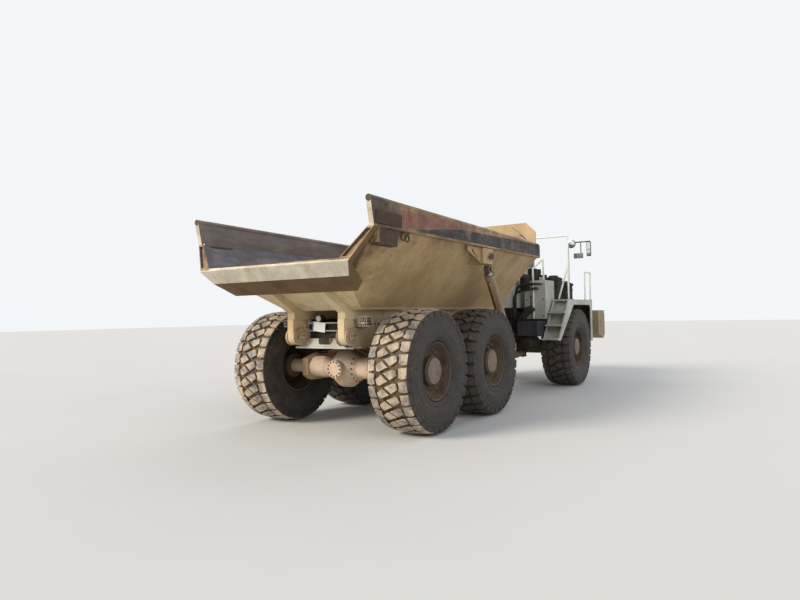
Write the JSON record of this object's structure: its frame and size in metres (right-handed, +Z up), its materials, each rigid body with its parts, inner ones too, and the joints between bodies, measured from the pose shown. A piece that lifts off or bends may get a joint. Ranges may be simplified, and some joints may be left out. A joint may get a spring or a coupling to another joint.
{
  "type": "articulated dump truck",
  "caption": "Six-wheel articulated dump truck with a tipping body, telescopic side hoists, a steering hitch with roll joint, and a cab, hood and fenders on the tractor.",
  "frame": {"origin": "on the ground under the middle of the truck: middle of the bounding box, at its bottom", "axes": "+X forward, +Y to the left, +Z up"},
  "size_m": [10.15, 2.976, 3.3],
  "materials": {
    "tyre_rubber": "matte, dusty",
    "rim_paint": "dirty",
    "frame_paint": "dusty",
    "dark_frame": "matte",
    "body_paint": "worn satin",
    "rail_paint": "worn",
    "cream_paint": "satin",
    "cylinder_paint": "satin",
    "chromed_rod": "polished",
    "clear_glass": "clear",
    "red_lens": "gloss",
    "lamp_lens": "clear",
    "black_plastic": "matte",
    "hose_rubber": "matte",
    "seat_fabric": "woven",
    "trim_plastic": "grained",
    "cast_block": "rough",
    "mirror_black": "matte"
  },
  "bodies": {
    "tractor": {"front_frame": "dark_frame", "front_axle": "dark_frame", "engine_block": "cast_block", "nose": "cream_paint", "headlamps": "lamp_lens", "fender_right": "cream_paint", "fender_left": "cream_paint", "hydraulic_tank": "cream_paint", "tank_fittings": "black_plastic", "fuel_tank": "dark_frame", "battery_box": "dark_frame", "air_cleaner": "black_plastic", "suction_hoses": "hose_rubber", "cab_shell": "cream_paint", "cab_glass": "clear_glass", "seat": "seat_fabric", "console": "trim_plastic", "handrails": "cream_paint", "mirrors": "mirror_black"},
    "cab_door": {"cab_door": "cream_paint", "door_glass": "clear_glass"},
    "hood": {"hood": "cream_paint", "grille": "black_plastic"},
    "hitch": {"hitch_yoke": "dark_frame"},
    "rear_chassis": {"rear_frame": "frame_paint", "roll_tube": "frame_paint", "hoist_beam": "frame_paint", "bogie_axles": "frame_paint", "bogie_beams": "frame_paint", "tail_lamps": "red_lens"},
    "dump_body": {"body_shell": "body_paint", "body_rails": "rail_paint", "spill_guard": "body_paint", "body_runners": "body_paint", "hoist_brackets": "body_paint"},
    "wheel_rear_right": {"tyre_rear_right": "tyre_rubber", "rim_rear_right": "rim_paint"},
    "wheel_rear_left": {"tyre_rear_left": "tyre_rubber", "rim_rear_left": "rim_paint"},
    "wheel_middle_right": {"tyre_middle_right": "tyre_rubber", "rim_middle_right": "rim_paint"},
    "wheel_middle_left": {"tyre_middle_left": "tyre_rubber", "rim_middle_left": "rim_paint"},
    "wheel_front_right": {"tyre_front_right": "tyre_rubber", "rim_front_right": "rim_paint"},
    "wheel_front_left": {"tyre_front_left": "tyre_rubber", "rim_front_left": "rim_paint"},
    "hoist_barrel_right": {"hoist_barrel_right": "cylinder_paint"},
    "hoist_sleeve_right": {"hoist_sleeve_right": "chromed_rod"},
    "hoist_rod_right": {"hoist_rod_right": "chromed_rod"},
    "steer_barrel_right": {"steer_barrel_right": "cylinder_paint"},
    "steer_rod_right": {"steer_rod_right": "chromed_rod"},
    "hoist_barrel_left": {"hoist_barrel_left": "cylinder_paint"},
    "hoist_sleeve_left": {"hoist_sleeve_left": "chromed_rod"},
    "hoist_rod_left": {"hoist_rod_left": "chromed_rod"},
    "steer_barrel_left": {"steer_barrel_left": "cylinder_paint"},
    "steer_rod_left": {"steer_rod_left": "chromed_rod"}
  },
  "joints": [
    {"name": "steer", "type": "hinge", "parent": "tractor", "child": "hitch", "pos_m": [0.925, 0, 1], "axis": [0, 0, 1], "range_deg": [-45, 45]},
    {"name": "frame_roll", "type": "hinge", "parent": "hitch", "child": "rear_chassis", "pos_m": [0.325, 0, 1], "axis": [1, 0, 0], "range_deg": [-15, 15]},
    {"name": "wheel_rear_right_spin", "type": "hinge", "parent": "rear_chassis", "child": "wheel_rear_right", "pos_m": [-3.525, -1.175, 0.8075], "axis": [0, 1, 0], "continuous": true},
    {"name": "wheel_rear_left_spin", "type": "hinge", "parent": "rear_chassis", "child": "wheel_rear_left", "pos_m": [-3.525, 1.175, 0.8075], "axis": [0, 1, 0], "continuous": true},
    {"name": "wheel_middle_right_spin", "type": "hinge", "parent": "rear_chassis", "child": "wheel_middle_right", "pos_m": [-1.775, -1.175, 0.8075], "axis": [0, 1, 0], "continuous": true},
    {"name": "wheel_middle_left_spin", "type": "hinge", "parent": "rear_chassis", "child": "wheel_middle_left", "pos_m": [-1.775, 1.175, 0.8075], "axis": [0, 1, 0], "continuous": true},
    {"name": "wheel_front_right_spin", "type": "hinge", "parent": "tractor", "child": "wheel_front_right", "pos_m": [2.475, -1.175, 0.8075], "axis": [0, 1, 0], "continuous": true},
    {"name": "wheel_front_left_spin", "type": "hinge", "parent": "tractor", "child": "wheel_front_left", "pos_m": [2.475, 1.175, 0.8075], "axis": [0, 1, 0], "continuous": true},
    {"name": "dump_tip", "type": "hinge", "parent": "rear_chassis", "child": "dump_body", "pos_m": [-4.125, 0, 1.257], "axis": [0, -1, 0], "range_deg": [0, 65]},
    {"name": "hoist_swing_right", "type": "hinge", "parent": "rear_chassis", "child": "hoist_barrel_right", "pos_m": [-0.605, -1.15, 1.1], "axis": [-0.4547, -0.6057, -0.653], "range_deg": [0, 6.31]},
    {"name": "hoist_stage_right", "type": "slide", "parent": "hoist_barrel_right", "child": "hoist_sleeve_right", "axis": [-0.7457, -0.142, 0.651], "range_m": [0, 1.30849]},
    {"name": "hoist_reach_right", "type": "slide", "parent": "hoist_sleeve_right", "child": "hoist_rod_right", "axis": [-0.7457, -0.142, 0.651], "range_m": [0, 1.30849]},
    {"name": "steer_swing_right", "type": "hinge", "parent": "tractor", "child": "steer_barrel_right", "pos_m": [1.875, -0.42, 0.68], "axis": [0, 0, 1], "range_deg": [-8.68, 8.68]},
    {"name": "steer_reach_right", "type": "slide", "parent": "steer_barrel_right", "child": "steer_rod_right", "axis": [-0.9954, 0.0956, 0], "range_m": [-0.2445, 0.2445]},
    {"name": "hoist_swing_left", "type": "hinge", "parent": "rear_chassis", "child": "hoist_barrel_left", "pos_m": [-0.605, 1.15, 1.1], "axis": [0.4547, -0.6057, 0.653], "range_deg": [0, 6.31]},
    {"name": "hoist_stage_left", "type": "slide", "parent": "hoist_barrel_left", "child": "hoist_sleeve_left", "axis": [-0.7457, 0.142, 0.651], "range_m": [0, 1.30849]},
    {"name": "hoist_reach_left", "type": "slide", "parent": "hoist_sleeve_left", "child": "hoist_rod_left", "axis": [-0.7457, 0.142, 0.651], "range_m": [0, 1.30849]},
    {"name": "steer_swing_left", "type": "hinge", "parent": "tractor", "child": "steer_barrel_left", "pos_m": [1.875, 0.42, 0.68], "axis": [0, 0, 1], "range_deg": [-8.68, 8.68]},
    {"name": "steer_reach_left", "type": "slide", "parent": "steer_barrel_left", "child": "steer_rod_left", "axis": [-0.9954, -0.0956, 0], "range_m": [-0.2445, 0.2445]},
    {"name": "door", "type": "hinge", "parent": "tractor", "child": "cab_door", "pos_m": [1.511, 0.877, 2.4], "axis": [0, 0, 1], "range_deg": [0, 80]},
    {"name": "hood_tilt", "type": "hinge", "parent": "tractor", "child": "hood", "pos_m": [4.975, 0, 1.295], "axis": [0, 1, 0], "range_deg": [0, 55]}
  ],
  "couplings": [
    {"joint": "hoist_swing_right", "follows": "dump_tip", "ratio": 0.096377},
    {"joint": "hoist_stage_right", "follows": "dump_tip", "m_per_rad": 1.1525},
    {"joint": "hoist_reach_right", "follows": "dump_tip", "m_per_rad": 1.1525},
    {"joint": "steer_swing_right", "follows": "steer", "ratio": 0.19168},
    {"joint": "steer_reach_right", "follows": "steer", "m_per_rad": -0.31004},
    {"joint": "hoist_swing_left", "follows": "dump_tip", "ratio": 0.096377},
    {"joint": "hoist_stage_left", "follows": "dump_tip", "m_per_rad": 1.1525},
    {"joint": "hoist_reach_left", "follows": "dump_tip", "m_per_rad": 1.1525},
    {"joint": "steer_swing_left", "follows": "steer", "ratio": 0.19168},
    {"joint": "steer_reach_left", "follows": "steer", "m_per_rad": 0.31004}
  ]
}
